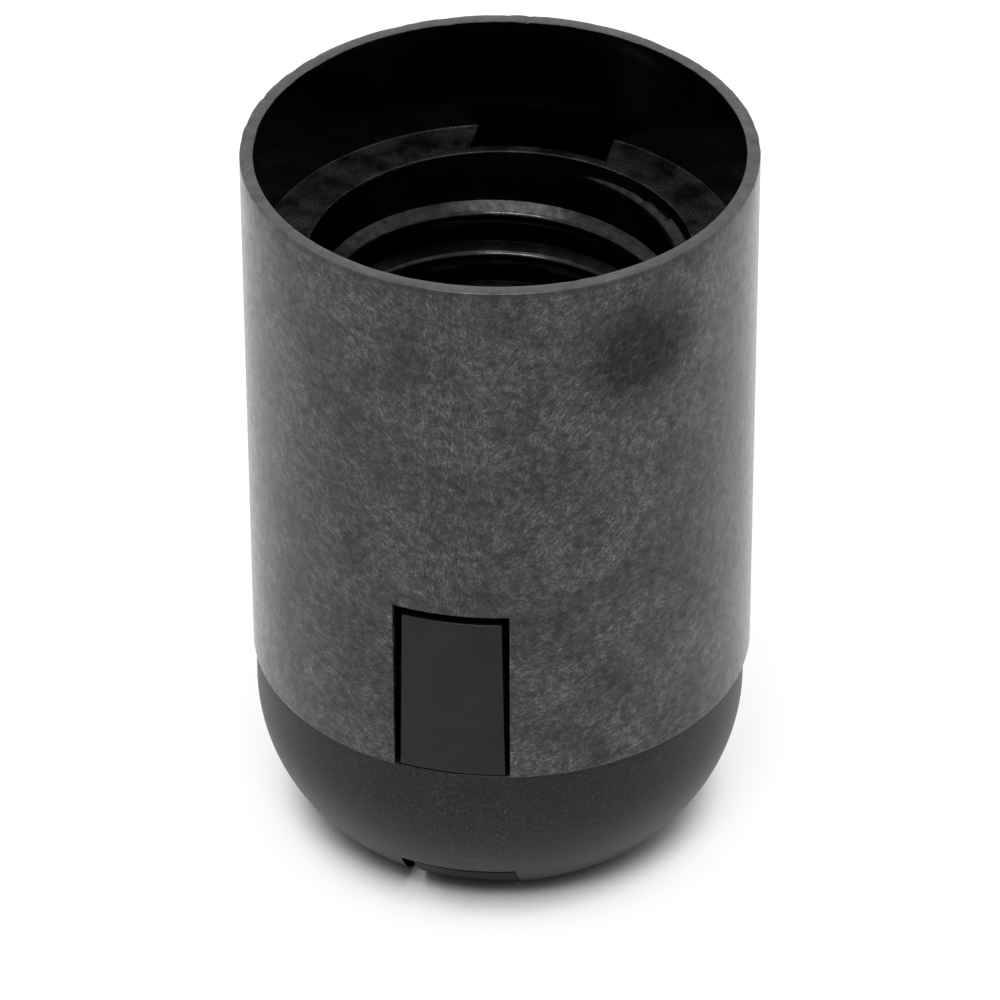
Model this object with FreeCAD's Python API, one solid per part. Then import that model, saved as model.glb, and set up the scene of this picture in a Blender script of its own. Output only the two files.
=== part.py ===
import FreeCAD
import Part
import math
import os

# Screw-base lamp holder in moulded plastic: a smooth sleeve with the lamp thread inside, a domed
# cap with the pipe inlet, and a contact carrier whose two spring legs snap the three together.
# Millimetres, +Z up. The origin is the middle of the base. The latch windows face -Y and +Y,
# the terminal screws face +X and -X.

# Heights of the outer form
overall_height = 57.9
seam_height = 14.8
seam_gap = 0.1

# Lamp tube, from the thread's root outwards to the skirt: leg, catch and wall
thread_root_radius = 13.4
tube_wall = 1.2
leg_room = 1.16
leg_thickness = 1.3
leg_catch_clearance = 0.15
catch_depth = 0.7
skirt_wall = 1.0
skirt_draft = 0.21
rim_chamfer = 0.2

# Mouth and ledge, moulded with the skirt and the tube
ledge_depth = 9.1
ledge_thickness = 1.5
mouth_chamfer = 0.4
lip_wall = 0.7
thread_entry_depth = 3.6
thread_entry_taper = 1.3
thread_length = 12.0
contact_relief = 0.35

# Domed cap
seam_step = 0.34
cap_straight = 3.3
base_radius = 10.9
base_rounding = 3.6
cap_wall = 1.4
cap_floor = 1.8
inner_rounding = 2.0
spigot_height = 5.2
spigot_wall = 1.2
spigot_clearance = 0.24
skin_arcs = 2
dome_spans = 3
corner_spans = 1

# Pipe inlet in the middle of the cap, and the screw that locks the pipe
inlet_radius = 4.46
inlet_chamfer = 0.5
inlet_boss_radius = 7.3
inlet_boss_top = 8.0
lock_screw_radius = 1.5
lock_screw_length = 4.0
lock_screw_tilt = 45.0
lock_screw_height = 4.4
lock_screw_gap = 0.1
lock_pad_radius = 2.7

# Latch windows, catches above them and the slots in the ledge that shape the catches
window_width = 8.75
window_height = 14.6
window_corner = 0.4
catch_rise = 1.0
catch_height = 3.6
catch_side_inset = 0.175
slot_side_room = 1.0

# Spring legs of the carrier
leg_clearance = 0.35
pad_recess = 0.35
pad_top_gap = 0.95
pad_bottom_gap = 0.25
pad_top_side_gap = 0.625
pad_bottom_side_gap = 0.395
hook_reach = 0.4
hook_height = 1.85
foot_notch_height = 4.2
foot_stem_thickness = 1.2
foot_clearance = 0.2
foot_side_gap = 0.575
foot_side_clearance = 0.04
foot_recess = 0.4

# Contact carrier
plate_gap = 0.05
plate_thickness = 1.95
plate_inset = 0.4
tube_seat_gap = 0.1
step_height = 0.8
step_clearance = 0.25
block_height = 7.05
block_half_y = 6.2
block_wall = 1.5
block_roof = 1.5

# Contact strips and their rivets
strip_thickness = 0.8
strip_half_width = 3.2
strip_fit = 0.05
strip_slot_clearance = 0.1
strip_end_inset = 0.2
rivet_edge = 0.1
rivet_tail_room = 0.14
rivet_radius = 0.9
rivet_head_radius = 1.6
rivet_tail_radius = 1.36
rivet_head_height = 0.5

# Spring arm to the middle of the lamp
arm_gap = 0.1
centre_arm_thickness = 0.4
centre_arm_half_width = 2.5
centre_contact_rise = 2.0
centre_contact_half_length = 0.9
centre_tip_length = 1.5
centre_tip_drop = 0.7
centre_bend_length = 1.2
centre_bend_rise = 0.3

# Spring arm to the side of the lamp
shell_arm_thickness = 0.35
shell_arm_half_width = 2.0
shell_arm_lift = 0.4
shell_arm_clearance = 0.35
shell_arm_lean = 1.0
shell_foot_length = 1.65
shell_bend_run = 0.8
shell_bend_rise = 1.2
shell_contact_rise = 7.6
shell_tip_flare = 0.6
shell_tip_rise = 1.6

# Terminal screws with their captive clamp plates
terminal_drop = 3.75
screw_radius = 1.5
screw_length = 5.75
screw_fit = 0.05
screw_passage = 0.25
screw_head_radius = 2.7
screw_head_height = 1.8
screw_slot_width = 0.7
screw_slot_depth = 0.9
clamp_half_side = 3.2
clamp_thickness = 1.0
clamp_gap = 0.15
head_gap = 0.05

# How far a cutting shape runs past the face that it cuts
overrun = 1.0


# Heights that follow, from the base upwards
sleeve_bottom = seam_height + seam_gap
window_top = seam_height + window_height
catch_bottom = window_top + catch_rise
catch_top = catch_bottom + catch_height
hook_bottom = catch_top + leg_catch_clearance
hook_top = hook_bottom + hook_height
ledge_top = overall_height - ledge_depth
ledge_bottom = ledge_top - ledge_thickness
spigot_top = seam_height + spigot_height
plate_bottom = spigot_top + plate_gap
plate_top = plate_bottom + plate_thickness
step_top = plate_top + step_height
tube_bottom = plate_top + tube_seat_gap
block_bottom = plate_bottom - block_height
terminal_height = plate_bottom - terminal_drop
pad_top = window_top - pad_top_gap
pad_bottom = seam_height + pad_bottom_gap
strip_top = step_top + strip_fit + strip_thickness

# Radii that follow, from the lamp tube outwards
mouth_radius = thread_root_radius + thread_entry_taper
tube_outer = thread_root_radius + tube_wall
leg_back = tube_outer + leg_room
leg_face = leg_back + leg_thickness
catch_face = leg_face + leg_catch_clearance
catch_root = catch_face + catch_depth


rim_inner = catch_root + (overall_height - catch_top) * math.tan(math.radians(skirt_draft))


def skirt_outer(height):
    """Outer radius of the slightly drafted skirt at a height."""
    return catch_root + skirt_wall + (height - catch_top) * math.tan(math.radians(skirt_draft))


rim_radius = skirt_outer(overall_height)
spigot_outer = catch_root - spigot_clearance
plate_radius = spigot_outer - plate_inset
cap_radius = skirt_outer(sleeve_bottom) - seam_step
dome_centre_height = seam_height - cap_straight
dome_width = cap_radius - base_radius
dome_drop = dome_centre_height - base_rounding
dome_arc_radius = (dome_width ** 2 + dome_drop ** 2 - base_rounding ** 2) / (2 * (dome_width - base_rounding))
dome_centre_radius = cap_radius - dome_arc_radius
foot_high = foot_notch_height - foot_clearance

# Widths and places along X that follow
pad_width_top = window_width - 2 * pad_top_side_gap
pad_width_bottom = window_width - 2 * pad_bottom_side_gap
catch_width = window_width - 2 * catch_side_inset
foot_width = window_width - 2 * foot_side_gap
ledge_slot_width = catch_width + 2 * slot_side_room
shell_arm_wall = thread_root_radius - shell_arm_thickness - shell_arm_clearance
strip_outer = shell_arm_wall - shell_bend_run - shell_foot_length - arm_gap
block_half_x = strip_outer - strip_thickness - strip_fit
rivet_place = block_half_x - block_wall - rivet_tail_radius - rivet_tail_room
strip_inner_end = rivet_place - rivet_head_radius - rivet_edge
clamp_face = strip_outer + clamp_gap
head_face = clamp_face + clamp_thickness + head_gap
screw_tip = head_face - screw_length
Z_AXIS = FreeCAD.Vector(0, 0, 1)
ORIGIN = FreeCAD.Vector(0, 0, 0)


def in_section(radius, height):
    """A point of a half section, which is drawn in the XZ plane."""
    return FreeCAD.Vector(radius, 0, height)


def turned(edges):
    """The solid of revolution of a closed half section."""
    return Part.Face(Part.Wire(edges)).revolve(ORIGIN, Z_AXIS, 360)


def lines(points):
    """Straight edges through section points, not closed."""
    places = [in_section(*point) for point in points]
    return [Part.LineSegment(a, b).toShape() for a, b in zip(places, places[1:])]


def turned_polygon(points):
    return turned(lines(points + points[:1]))


def box(low, high):
    size = [b - a for a, b in zip(low, high)]
    return Part.makeBox(size[0], size[1], size[2], FreeCAD.Vector(*low))


def rod(radius, start, direction, length):
    return Part.makeCylinder(radius, length, FreeCAD.Vector(*start), FreeCAD.Vector(*direction))


def opposite(shape):
    """The same shape on the other side of the axis."""
    copy = shape.copy()
    copy.rotate(ORIGIN, Z_AXIS, 180)
    return copy


def on_arc(centre, radius, angle):
    """Section point on an arc, at an angle in degrees measured down from the outward direction."""
    turn = math.radians(angle)
    return centre[0] + radius * math.cos(turn), centre[1] - radius * math.sin(turn)


def smooth_arc(centre, radius, start, end):
    places = [in_section(*on_arc(centre, radius, angle)) for angle in (start, (start + end) / 2, end)]
    return Part.Arc(*places).toShape()


def smooth_arcs(centre, radius, start, end, count):
    """Arcs that follow each other along one circle."""
    step = (end - start) / count
    return [smooth_arc(centre, radius, start + step * index, start + step * (index + 1))
            for index in range(count)]


def spanned_arc(centre, radius, start, end, spans):
    """Section points along an arc, for the straight spans of a hidden face."""
    step = (end - start) / spans
    return [on_arc(centre, radius, start + step * index) for index in range(spans + 1)]


def dome_arcs(inset, floor, rounding):
    """The dome's section at an inset from its skin: the side arc, then the rounding to the floor.

    Each is a centre, a radius and its start and end angles, as the arc functions take them.
    """
    side = dome_arc_radius - inset
    drop = dome_centre_height - floor - rounding
    corner_radius = dome_centre_radius + math.sqrt((side - rounding) ** 2 - drop ** 2)
    meeting = math.degrees(math.atan2(drop, corner_radius - dome_centre_radius))
    side_arc = ((dome_centre_radius, dome_centre_height), side, 0, meeting)
    corner_arc = ((corner_radius, floor + rounding), rounding, meeting, 90)
    return side_arc, corner_arc


def spanned_dome(inset, floor, rounding):
    side_arc, corner_arc = dome_arcs(inset, floor, rounding)
    return spanned_arc(*side_arc, dome_spans) + spanned_arc(*corner_arc, corner_spans)[1:]


def sleeve():
    """Skirt, ledge and lamp tube in one moulding."""
    entry_bottom = ledge_top - thread_entry_depth
    thread_bottom = entry_bottom - thread_length
    lip_radius = mouth_radius + lip_wall
    body = turned_polygon([
        (skirt_outer(sleeve_bottom), sleeve_bottom),
        (rim_radius, overall_height - rim_chamfer),
        (rim_radius - rim_chamfer, overall_height),
        (rim_inner + rim_chamfer, overall_height),
        (rim_inner, overall_height - rim_chamfer),
        (rim_inner, ledge_top),
        (mouth_radius + mouth_chamfer, ledge_top),
        (mouth_radius, ledge_top - mouth_chamfer),
        (thread_root_radius, entry_bottom),
        (thread_root_radius, thread_bottom),
        (thread_root_radius + contact_relief, thread_bottom - contact_relief),
        (thread_root_radius + contact_relief, tube_bottom),
        (tube_outer, tube_bottom),
        (tube_outer, entry_bottom),
        (lip_radius, ledge_bottom),
        (catch_root, ledge_bottom),
        (catch_root, sleeve_bottom),
    ])

    between = (tube_outer + catch_root) / 2
    window = box((-window_width / 2, -rim_radius - overrun, sleeve_bottom - overrun),
                 (window_width / 2, -between, window_top))
    corners = [edge for edge in window.Edges
               if edge.BoundBox.YLength > rim_radius - between
               and edge.BoundBox.ZMin > window_top - window_corner]
    window = window.makeFillet(window_corner, corners)

    slot_band = turned_polygon([
        (lip_radius, ledge_top + overrun),
        (catch_root, ledge_top + overrun),
        (catch_root, ledge_bottom - overrun),
        (lip_radius, ledge_bottom - overrun),
    ])
    slot = slot_band.common(box((-ledge_slot_width / 2, -rim_radius, ledge_bottom - overrun),
                                (ledge_slot_width / 2, 0, ledge_top + overrun)))

    catch_ring = turned_polygon([
        (catch_root + skirt_wall / 2, catch_top),
        (catch_face, catch_top),
        (catch_face, catch_bottom + 2 * catch_depth),
        (catch_root, catch_bottom),
        (catch_root + skirt_wall / 2, catch_bottom),
    ])
    catch = catch_ring.common(box((-catch_width / 2, -rim_radius, catch_bottom),
                                  (catch_width / 2, 0, catch_top)))
    body = body.cut([window, opposite(window), slot, opposite(slot)])
    return body.fuse([catch, opposite(catch)]).removeSplitter()


def foot_notches():
    """Notches through the dome and the edge of its base, which the carrier's feet fill."""
    inner = base_radius - foot_stem_thickness - foot_clearance
    band = turned_polygon([(inner, -overrun), (cap_radius, -overrun), (cap_radius, foot_notch_height),
                           (inner, foot_notch_height)])
    front = band.common(box((-window_width / 2, -cap_radius, -overrun),
                            (window_width / 2, 0, foot_notch_height)))
    return front.fuse(opposite(front))


def cap_turn():
    """Turn of the cap on the carrier: its notches lie against one side of the feet."""
    side_arc, corner_arc = dome_arcs(foot_recess, foot_clearance, base_rounding - foot_recess)
    centre, radius, straight, meeting = side_arc
    foot_reach = centre[0] + math.sqrt(radius ** 2 - (centre[1] - foot_high) ** 2)
    return -math.degrees(math.asin((foot_side_gap - foot_side_clearance) / foot_reach))


def lock_direction():
    tilt = math.radians(lock_screw_tilt)
    return FreeCAD.Vector(math.cos(tilt), 0, math.sin(tilt))


def lock_start(distance):
    """Point on the lock screw's axis, at a distance from its tip, which stops short of the inlet."""
    reach = inlet_radius + lock_screw_gap + lock_screw_radius * math.sin(math.radians(lock_screw_tilt))
    root = FreeCAD.Vector(reach, 0, lock_screw_height)
    return root + lock_direction() * distance


def cap():
    """Domed shell with the inlet boss, and a spigot that enters the sleeve."""
    side_arc, base_arc = dome_arcs(0, 0, base_rounding)
    spigot_inner = spigot_outer - spigot_wall
    inside = spanned_dome(cap_wall, cap_floor, inner_rounding)
    skin = smooth_arcs(*side_arc, skin_arcs) + [smooth_arc(*base_arc)]
    straights = lines([(base_radius, 0), (0, 0), (0, cap_floor)] + inside[::-1] + [
        (cap_radius - cap_wall, seam_height - cap_wall),
        (spigot_inner, seam_height),
        (spigot_inner, spigot_top),
        (spigot_outer, spigot_top),
        (spigot_outer, seam_height),
        (cap_radius, seam_height),
        (cap_radius, dome_centre_height),
    ])
    shell = turned(skin + straights)

    gap = window_width / 2 + leg_clearance
    leg_gap = box((-gap, -spigot_outer - spigot_clearance, seam_height - cap_wall),
                  (gap, -spigot_inner + spigot_wall, spigot_top + overrun))
    cuts = foot_notches().fuse([leg_gap, opposite(leg_gap)])
    cuts.rotate(ORIGIN, Z_AXIS, cap_turn())
    shell = shell.cut(cuts)

    boss = rod(inlet_boss_radius, (0, 0, cap_floor / 2), (0, 0, 1), inlet_boss_top - cap_floor / 2)
    pad = rod(lock_pad_radius, lock_start(-lock_pad_radius), lock_direction(),
              lock_pad_radius + lock_screw_length)
    pad = pad.common(rod(cap_radius, (0, 0, cap_floor / 2), (0, 0, 1), inlet_boss_top - cap_floor / 2))
    shell = shell.fuse([boss, pad])
    bore = rod(inlet_radius, (0, 0, -overrun), (0, 0, 1), inlet_boss_top + 2 * overrun)
    lead = Part.makeCone(inlet_radius + inlet_chamfer, inlet_radius, inlet_chamfer)
    lock_hole = rod(lock_screw_radius + screw_fit, lock_start(-lock_screw_radius), lock_direction(),
                    lock_screw_radius + lock_screw_length + 2 * lock_pad_radius)
    return shell.cut([bore, lead, lock_hole]).removeSplitter()


def leg_outline():
    """Section of a spring leg: hook, pad in the window, bent shank and foot, as a closed loop."""
    low_face = cap_radius - cap_wall - leg_clearance
    low_back = low_face - leg_thickness
    pad_face = skirt_outer(pad_top) - pad_recess
    hook_face = catch_face + hook_reach
    side_arc, corner_arc = dome_arcs(foot_recess, foot_clearance, base_rounding - foot_recess)
    centre, radius, straight, meeting = side_arc
    foot_start = math.degrees(math.asin((dome_centre_height - foot_high) / radius))
    foot_face = (spanned_arc(centre, radius, foot_start, meeting, dome_spans)
                 + spanned_arc(*corner_arc, dome_spans)[1:])
    shank_radius = dome_arc_radius - cap_wall - leg_clearance
    shank_end = math.degrees(math.asin((dome_centre_height - foot_high) / shank_radius))
    shank_face = spanned_arc(centre, shank_radius, straight, shank_end, dome_spans)
    stem_back = base_radius - foot_stem_thickness
    back_radius = low_back - dome_centre_radius
    back_turn = math.degrees(math.acos((stem_back - dome_centre_radius) / back_radius))
    shank_back = spanned_arc((dome_centre_radius, dome_centre_height), back_radius, back_turn, 0,
                             dome_spans)
    return [
        (low_back, seam_height),
        (leg_back, plate_bottom),
        (leg_back, hook_top),
        (leg_face, hook_top),
        (hook_face, hook_bottom + hook_height / 2),
        (hook_face, hook_bottom),
        (leg_face, hook_bottom),
        (leg_face, pad_top),
        (pad_face, pad_top),
        (pad_face, pad_bottom),
        (low_face, pad_bottom),
    ] + shank_face + foot_face + [
        (stem_back, foot_clearance),
    ] + shank_back


def leg():
    """One spring leg, curved round the axis, with sides that taper towards the top of the pad."""
    band = turned_polygon(leg_outline())
    half_foot = foot_width / 2
    half_low = pad_width_bottom / 2
    half_high = pad_width_top / 2
    sides = [(-half_foot, 0), (half_foot, 0), (half_foot, foot_high), (half_low, pad_bottom),
             (half_high, pad_top), (half_high, hook_top + overrun), (-half_high, hook_top + overrun),
             (-half_high, pad_top), (-half_low, pad_bottom), (-half_foot, foot_high), (-half_foot, 0)]
    mask = Part.Face(Part.makePolygon([FreeCAD.Vector(x, 0, z) for x, z in sides]))
    return band.common(mask.extrude(FreeCAD.Vector(0, -rim_radius, 0)))


def carrier():
    """Plate under the lamp tube, the terminal block below it and the two spring legs."""
    plate = rod(plate_radius, (0, 0, plate_bottom), (0, 0, 1), plate_thickness)
    step = rod(thread_root_radius - step_clearance, (0, 0, plate_bottom), (0, 0, 1),
               plate_thickness + step_height)
    block = box((-block_half_x, -block_half_y, block_bottom),
                (block_half_x, block_half_y, plate_top))
    front_leg = leg()
    body = plate.fuse([step, block, front_leg, opposite(front_leg)])

    chamber = box((block_wall / 2, -block_half_y + block_wall, block_bottom - overrun),
                  (block_half_x - block_wall, block_half_y - block_wall, plate_bottom - block_roof))
    strip_slot = box(
        (block_half_x, -strip_half_width - strip_slot_clearance, plate_bottom - overrun),
        (strip_outer + strip_slot_clearance, strip_half_width + strip_slot_clearance, step_top + overrun))
    screw_hole = rod(screw_radius + screw_passage, (block_wall, 0, terminal_height), (1, 0, 0),
                     block_half_x)
    rivet_hole = rod(rivet_radius + screw_fit, (rivet_place, 0, block_bottom), (0, 0, 1),
                     step_top - block_bottom + overrun)
    cuts = [chamber, strip_slot, screw_hole, rivet_hole]
    return body.cut(cuts + [opposite(cut) for cut in cuts]).removeSplitter()


def bent_strip(path, thickness, half_width):
    """Sheet metal along a path of (x, z) points, thickened to the right of its direction."""
    points = [FreeCAD.Vector(x, z, 0) for x, z in path]
    directions = [(b - a).normalize() for a, b in zip(points, points[1:])]
    rights = [FreeCAD.Vector(d.y, -d.x, 0) for d in directions]
    offset = [points[0] + rights[0] * thickness]
    for index in range(1, len(points) - 1):
        middle = rights[index - 1] + rights[index]
        offset.append(points[index] + middle * (2 * thickness / middle.dot(middle)))
    offset.append(points[-1] + rights[-1] * thickness)
    loop = points + offset[::-1] + points[:1]
    outline = Part.makePolygon([FreeCAD.Vector(p.x, -half_width, p.y) for p in loop])
    return Part.Face(outline).extrude(FreeCAD.Vector(0, 2 * half_width, 0))


def terminal_strip():
    """Live side: the terminal pad, bent over the carrier's step to the riveted foot."""
    strip = bent_strip([
        (block_half_x + strip_fit, block_bottom + strip_end_inset),
        (block_half_x + strip_fit, step_top + strip_fit),
        (strip_inner_end, step_top + strip_fit),
    ], strip_thickness, strip_half_width)
    screw_hole = rod(screw_radius + screw_fit, (block_half_x, 0, terminal_height), (1, 0, 0),
                     strip_thickness + overrun)
    rivet_hole = rod(rivet_radius + screw_fit, (rivet_place, 0, step_top), (0, 0, 1),
                     strip_thickness + overrun)
    return strip.cut([screw_hole, rivet_hole])


def centre_contact():
    """Spring arm that rises from the end of the live foot to the middle of the socket."""
    start = strip_inner_end - arm_gap
    top = strip_top + centre_contact_rise
    return bent_strip([
        (-centre_contact_half_length - centre_tip_length, top - centre_tip_drop),
        (-centre_contact_half_length, top),
        (centre_contact_half_length, top),
        (start - centre_bend_length, strip_top + centre_bend_rise),
        (start, strip_top),
    ], centre_arm_thickness, centre_arm_half_width)


def shell_contact():
    """Spring arm on the neutral side that stands by the wall and leans in towards the lamp."""
    start = strip_outer + arm_gap
    wall = shell_arm_wall
    base = step_top + shell_arm_lift
    contact = wall - shell_arm_lean
    return opposite(bent_strip([
        (start, base),
        (wall - shell_bend_run, base),
        (wall, base + shell_bend_rise),
        (contact, base + shell_contact_rise),
        (contact + shell_tip_flare, base + shell_contact_rise + shell_tip_rise),
    ], -shell_arm_thickness, shell_arm_half_width))


def rivet():
    """Tubular rivet that holds a strip's foot on the carrier."""
    roof = plate_bottom - block_roof
    shank = rod(rivet_radius, (rivet_place, 0, roof), (0, 0, 1), strip_top - roof)
    head = rod(rivet_head_radius, (rivet_place, 0, strip_top), (0, 0, 1), rivet_head_height)
    tail = rod(rivet_tail_radius, (rivet_place, 0, roof - rivet_head_height), (0, 0, 1),
               rivet_head_height)
    hollow = rod(rivet_radius / 2, (rivet_place, 0, roof - overrun), (0, 0, 1), strip_top - roof)
    return shank.fuse([head, tail]).cut(hollow).removeSplitter()


def clamp_plate():
    """Square plate, captive under the terminal screw's head."""
    half = clamp_half_side
    plate = box((clamp_face, -half, terminal_height - half),
                (clamp_face + clamp_thickness, half, terminal_height + half))
    hole = rod(screw_radius + screw_fit, (clamp_face - overrun, 0, terminal_height), (1, 0, 0),
               clamp_thickness + 2 * overrun)
    return plate.cut(hole)


def terminal_screw():
    """Slotted cheese-head screw, head outwards."""
    shank = rod(screw_radius, (screw_tip, 0, terminal_height), (1, 0, 0), head_face - screw_tip)
    head = rod(screw_head_radius, (head_face, 0, terminal_height), (1, 0, 0), screw_head_height)
    slot_half = screw_slot_width / 2
    head_end = head_face + screw_head_height
    slot_reach = screw_head_radius + overrun
    slot = box((head_end - screw_slot_depth, -slot_half, terminal_height - slot_reach),
               (head_end + overrun, slot_half, terminal_height + slot_reach))
    return shank.fuse(head).cut(slot).removeSplitter()


def lock_screw():
    """Slotted set screw that presses on the pipe in the inlet."""
    body = rod(lock_screw_radius, lock_start(0), lock_direction(), lock_screw_length)
    slot_reach = lock_screw_radius + overrun
    slot = box((lock_screw_length - screw_slot_depth, -screw_slot_width / 2, -slot_reach),
               (lock_screw_length + overrun, screw_slot_width / 2, slot_reach))
    slot.rotate(ORIGIN, FreeCAD.Vector(0, 1, 0), -lock_screw_tilt)
    slot.translate(lock_start(0))
    return body.cut(slot)


def main():
    live_strip = terminal_strip()
    live_rivet = rivet()
    live_clamp = clamp_plate()
    live_screw = terminal_screw()
    nodes = {
        "outer_sleeve": sleeve(),
        "dome_cap": cap(),
        "contact_carrier": carrier(),
        "live_terminal_strip": live_strip,
        "neutral_terminal_strip": opposite(live_strip),
        "centre_contact_arm": centre_contact(),
        "shell_contact_arm": shell_contact(),
        "live_strip_rivet": live_rivet,
        "neutral_strip_rivet": opposite(live_rivet),
        "live_clamp_plate": live_clamp,
        "neutral_clamp_plate": opposite(live_clamp),
        "live_terminal_screw": live_screw,
        "neutral_terminal_screw": opposite(live_screw),
        "pipe_lock_screw": lock_screw(),
    }
    os.makedirs("parts", exist_ok=True)
    for name, shape in nodes.items():
        box_size = shape.BoundBox
        print("%-24s solids %d valid %s volume %.1f x %.2f..%.2f y %.2f..%.2f z %.2f..%.2f" % (
            name, len(shape.Solids), shape.isValid(), shape.Volume, box_size.XMin, box_size.XMax,
            box_size.YMin, box_size.YMax, box_size.ZMin, box_size.ZMax))
        shape.exportStep("parts/" + name + ".step")


main()
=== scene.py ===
import math
from dataclasses import dataclass

import bmesh
import bpy
import numpy as np
from mathutils import Matrix, Vector, noise


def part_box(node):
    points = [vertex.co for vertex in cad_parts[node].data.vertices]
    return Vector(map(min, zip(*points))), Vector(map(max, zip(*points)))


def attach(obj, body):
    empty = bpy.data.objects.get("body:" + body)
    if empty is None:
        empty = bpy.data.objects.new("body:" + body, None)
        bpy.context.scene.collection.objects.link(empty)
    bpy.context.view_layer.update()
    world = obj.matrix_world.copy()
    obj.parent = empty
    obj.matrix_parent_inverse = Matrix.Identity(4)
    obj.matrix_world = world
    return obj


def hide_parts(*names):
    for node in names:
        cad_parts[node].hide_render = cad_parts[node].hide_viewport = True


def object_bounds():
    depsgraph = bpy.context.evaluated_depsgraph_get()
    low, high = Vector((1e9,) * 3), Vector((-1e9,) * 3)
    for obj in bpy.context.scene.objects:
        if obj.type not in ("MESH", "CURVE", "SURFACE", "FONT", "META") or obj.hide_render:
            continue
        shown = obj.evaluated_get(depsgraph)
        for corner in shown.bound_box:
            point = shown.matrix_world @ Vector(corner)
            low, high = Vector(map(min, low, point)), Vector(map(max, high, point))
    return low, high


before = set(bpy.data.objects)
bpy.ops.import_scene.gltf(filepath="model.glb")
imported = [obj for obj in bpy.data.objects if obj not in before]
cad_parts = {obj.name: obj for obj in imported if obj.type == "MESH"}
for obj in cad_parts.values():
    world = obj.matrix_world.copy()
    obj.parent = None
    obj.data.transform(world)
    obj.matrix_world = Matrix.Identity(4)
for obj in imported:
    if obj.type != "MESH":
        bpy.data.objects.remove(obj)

bl_info = {
    "name": "Screw-base lamp holder",
    "version": (1, 0, 0),
    "blender": (4, 5, 0),
    "location": "View3D > Sidebar > Lamp holder",
    "description": "Dresses the packed lamp holder: moulded shells, lamp thread, contacts, screws and stage",
    "category": "Object",
}

CAD_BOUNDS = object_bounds()
MM = 0.001
INNER_ROUNDING = 2.0 * MM


def number(text, default, **settings):
    """A value that the sidebar shows."""
    return bpy.props.FloatProperty(name=text, description=text, default=default, **settings)


def length(text, millimetres):
    """A size that the sidebar shows, in metres."""
    return number(text, millimetres * MM, unit="LENGTH", precision=5)


def angle(text, degrees):
    """An angle that the sidebar shows."""
    return number(text, math.radians(degrees), subtype="ANGLE")


def linear(hex_colour):
    """An sRGB hex colour as linear RGB with full alpha."""
    channels = [int(hex_colour[i:i + 2], 16) / 255 for i in (1, 3, 5)]
    return [c / 12.92 if c <= 0.04045 else ((c + 0.055) / 1.055) ** 2.4 for c in channels] + [1.0]


def colour(text, hex_colour):
    """A colour that the sidebar shows."""
    return bpy.props.FloatVectorProperty(name=text, description=text, subtype="COLOR", size=4, min=0.0,
                                         max=1.0, default=linear(hex_colour))


class SleeveSizes(bpy.types.PropertyGroup):
    wall: length("Thickness of the skirt", 1.0)
    draft: angle("Taper of the skirt towards the seam", 0.21)
    rim_rounding: length("Edge radius of the rim", 0.08)
    ledge_depth: length("From the rim down to the ledge", 9.1)
    ledge_thickness: length("Thickness of the ledge", 1.5)
    mouth_radius: length("Radius of the opening in the ledge", 14.3)
    entry_depth: length("From the ledge down to the full bore", 3.6)
    root_radius: length("Radius of the bore between the ridges", 13.4)
    crest_height: length("How far the lamp thread's ridge stands in", 1.1)
    pitch: length("Rise of the lamp thread in one turn", 3.629)
    thread_length: length("Length of the threaded bore below its entry", 12.0)
    tube_wall: length("Thickness of the lamp tube", 1.2)
    lip_wall: length("Thickness of the tube's lip across the slots", 0.7)
    tube_bottom: length("Height of the tube's lower end", 22.1)
    window_width: length("Width of a latch window", 8.75)
    window_height: length("Height of a latch window above the seam", 14.73)
    slot_width: length("Width of a slot in the ledge", 10.4)
    catch_rise: length("From the window up to the catch", 1.0)
    catch_height: length("Height of a catch", 3.6)
    catch_depth: length("How far a catch stands in", 0.7)


class CapSizes(bpy.types.PropertyGroup):
    seam_height: length("Height of the seam between cap and sleeve", 14.8)
    straight: length("Upright wall below the seam", 3.3)
    arc_radius: length("Radius of the dome's side arc", 13.4)
    base_rounding: length("Radius between the dome and the base", 3.6)
    wall: length("Thickness of the dome", 1.4)
    floor: length("Thickness of the base", 1.8)
    spigot_height: length("Height of the spigot that enters the sleeve", 5.2)
    spigot_radius: length("Outer radius of the spigot", 17.6)
    spigot_wall: length("Thickness of the spigot", 1.2)
    inlet_radius: length("Minor radius of the pipe thread", 4.46)
    inlet_pitch: length("Pitch of the pipe thread", 1.0)
    inlet_boss_radius: length("Outer radius of the boss round the inlet", 7.3)
    inlet_boss_top: length("Height of the boss round the inlet", 8.0)
    notch_height: length("Height of the notches in the base rim", 4.2)
    play: length("Sideways place of the cap in its play on the carrier", -0.15)


class CarrierSizes(bpy.types.PropertyGroup):
    leg_thickness: length("Thickness of a spring leg", 1.3)
    leg_face: length("Radius of a leg's face above the window", 17.06)
    pad_recess: length("How far the pad lies behind the skirt's face", 0.35)
    pad_width_top: length("Width of the pad at its top", 7.5)
    pad_width_bottom: length("Width of the pad at the seam", 7.96)
    pad_top_gap: length("From the pad up to the window's edge", 0.95)
    hook_reach: length("How far the hook stands over the catch", 0.4)
    foot_radius: length("Radius of the base ring that the feet lie against", 10.9)
    foot_depth: length("How far a foot reaches in from that ring", 1.2)
    foot_recess: length("How far a foot lies behind the dome's skin", 0.05)
    foot_width: length("Width of a foot", 7.73)
    foot_side_gap: length("From a foot's right side to the window's side", 0.225)
    foot_clearance: length("Gap above, below and behind a foot", 0.2)
    plate_bottom: length("Height of the plate's underside", 20.05)
    plate_thickness: length("Thickness of the plate", 1.95)
    plate_radius: length("Radius of the plate", 16.5)
    step_height: length("Height of the step that centres the tube", 0.8)
    step_radius: length("Radius of the step", 13.15)


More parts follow.
